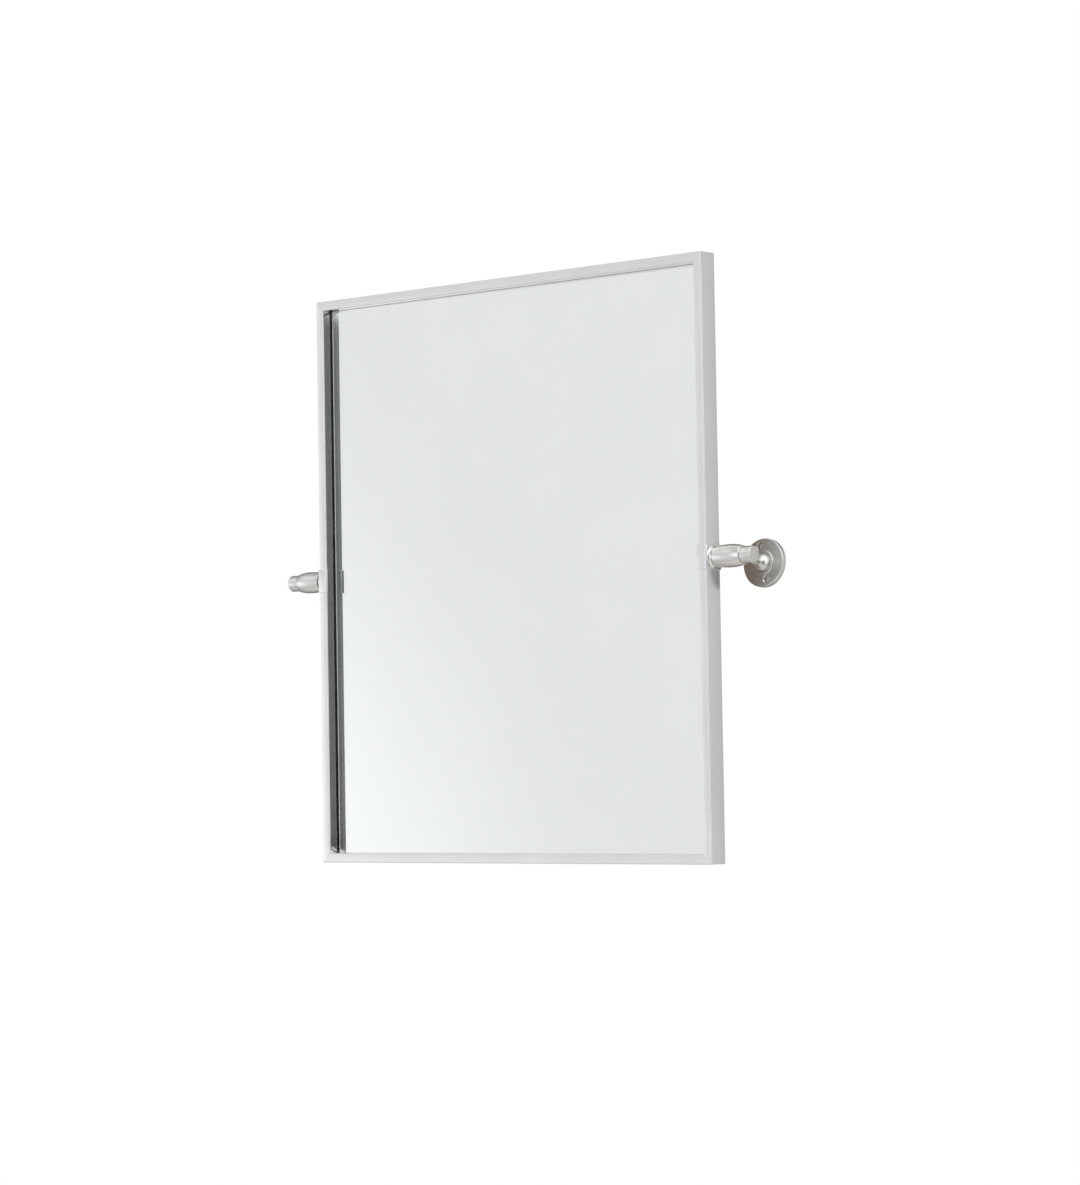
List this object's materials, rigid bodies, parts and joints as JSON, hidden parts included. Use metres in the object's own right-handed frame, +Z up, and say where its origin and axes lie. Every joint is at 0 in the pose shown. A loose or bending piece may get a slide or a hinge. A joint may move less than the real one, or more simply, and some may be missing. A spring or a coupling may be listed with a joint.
{
  "type": "pivot wall mirror",
  "caption": "Tilting rectangular wall mirror in a slim satin metal frame, held at mid-height by a saddle, a swelling pivot barrel and a round wall plate on either side.",
  "frame": {"origin": "on the tilt axis, midway between the two brackets; the volume centroid lies about 4 mm behind it", "axes": "+X to the right along the tilt axis as seen by a person in front of the mirror, +Y into the wall, +Z up; the brackets are level and the mirror leans 5.9 degrees forward from upright at rest"},
  "size_m": [0.636, 0.1114, 0.609],
  "materials": {
    "satin_aluminium": "satin nickel-coloured coating",
    "plain_aluminium": "as cut",
    "satin_nickel": "satin nickel plate",
    "nickel_screw": "bright nickel plate",
    "zinc_steel": "bright zinc plate",
    "spring_steel": "blued",
    "black_steel": "black oxide",
    "glass": "float glass, polished",
    "silvering": "silvered towards the glass, painted grey behind",
    "black_tape": "matt",
    "white_foam": "matt",
    "hardboard": "pressed fibre, matt",
    "dark_polymer": "satin"
  },
  "bodies": {
    "wall_brackets": {"left_bushing": "dark_polymer", "right_bushing": "dark_polymer", "left_barrel": "satin_nickel", "right_barrel": "satin_nickel", "left_end_cap": "satin_nickel", "right_end_cap": "satin_nickel", "cap_set_screws": "black_steel", "left_post": "satin_nickel", "right_post": "satin_nickel", "post_screws": "black_steel", "left_wall_plate": "satin_nickel", "right_wall_plate": "satin_nickel", "left_wall_screws": "nickel_screw", "right_wall_screws": "nickel_screw"},
    "mirror": {"top_rail": "satin_aluminium", "bottom_rail": "satin_aluminium", "left_rail": "satin_aluminium", "right_rail": "satin_aluminium", "top_left_corner_key": "plain_aluminium", "top_right_corner_key": "plain_aluminium", "bottom_left_corner_key": "plain_aluminium", "bottom_right_corner_key": "plain_aluminium", "mirror_glass": "glass", "silvering": "silvering", "top_glazing_tape": "black_tape", "bottom_glazing_tape": "black_tape", "left_glazing_tape": "black_tape", "right_glazing_tape": "black_tape", "foam_sheet": "white_foam", "backing_board": "hardboard", "board_clips": "zinc_steel", "clip_screws": "zinc_steel", "left_saddle": "satin_nickel", "right_saddle": "satin_nickel", "saddle_screws": "zinc_steel", "left_nut_plate": "zinc_steel", "right_nut_plate": "zinc_steel", "left_pivot_stud": "zinc_steel", "right_pivot_stud": "zinc_steel", "left_thrust_washer": "zinc_steel", "right_thrust_washer": "zinc_steel", "left_spring_washers": "spring_steel", "right_spring_washers": "spring_steel", "left_lock_nut": "zinc_steel", "right_lock_nut": "zinc_steel", "left_friction_washer": "dark_polymer", "right_friction_washer": "dark_polymer"}
  },
  "joints": [
    {"name": "mirror_tilt", "type": "hinge", "parent": "wall_brackets", "child": "mirror", "pos_m": [0, 0, 0], "axis": [1, 0, 0], "range_deg": [-14.1, 2.3]}
  ]
}
